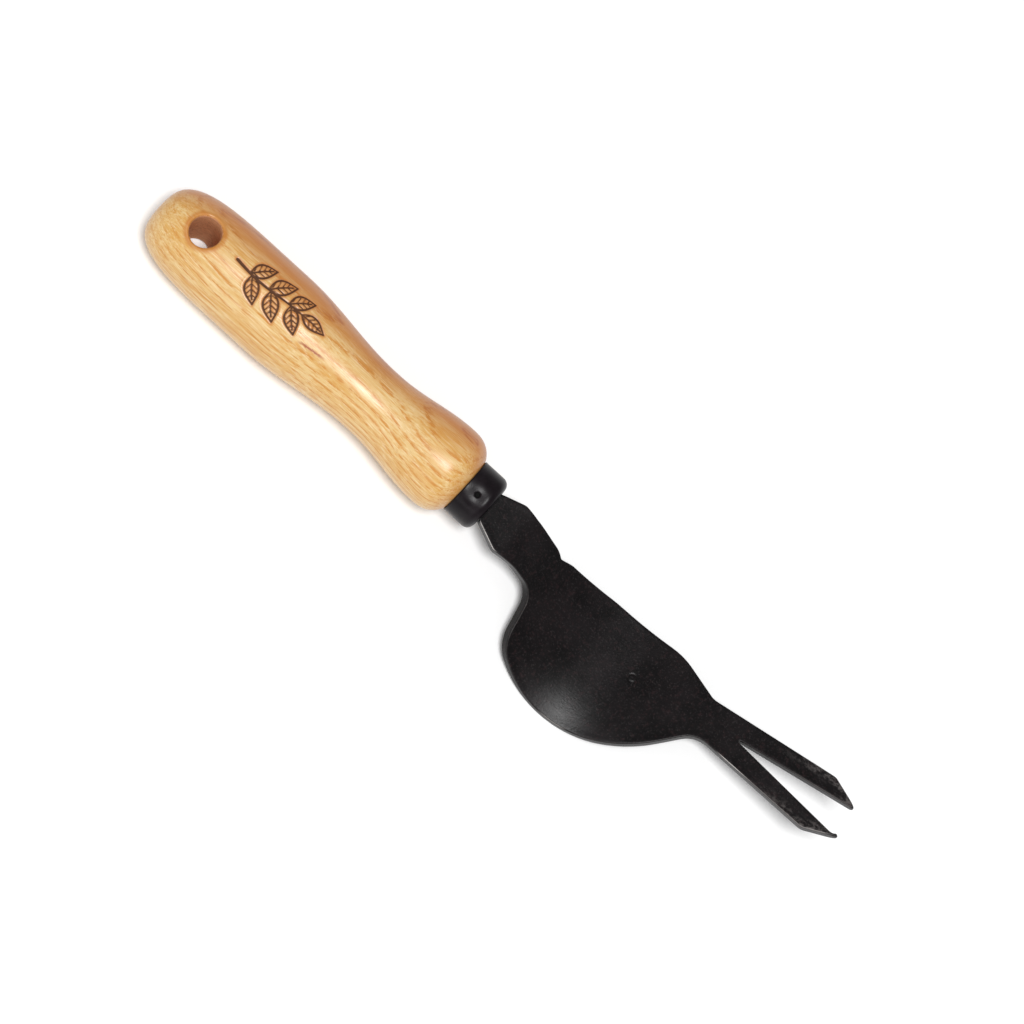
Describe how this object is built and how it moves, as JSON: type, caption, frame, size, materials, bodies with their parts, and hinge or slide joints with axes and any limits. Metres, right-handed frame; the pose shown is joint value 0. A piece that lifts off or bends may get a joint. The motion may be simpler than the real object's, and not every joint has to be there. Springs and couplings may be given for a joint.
{
  "type": "hand weeder",
  "caption": "Hand weeder: turned ash handle with a hanging hole, black ferrule, and a cranked forged blade with a half-moon cutting edge and a forked tip.",
  "frame": {"origin": "centre of the hanging hole, on the handle's axis", "axes": "+X along the handle's axis to the fork, +Z along the hanging hole and out of the blade's upper face, +Y to the blade's straight side, so the half-moon's round side is on -Y"},
  "size_m": [0.323, 0.054, 0.0407],
  "materials": {
    "ash_wood": "clear lacquered ash, glossy",
    "ferrule_black": "satin black coating",
    "pin_steel": "blackened steel nail",
    "blade_black": "black heat-treated forging, worn bright on edges and tips"
  },
  "bodies": {
    "root": {"handle": "ash_wood", "ferrule": "ferrule_black", "ferrule_pin": "pin_steel", "blade": "blade_black"}
  },
  "joints": []
}
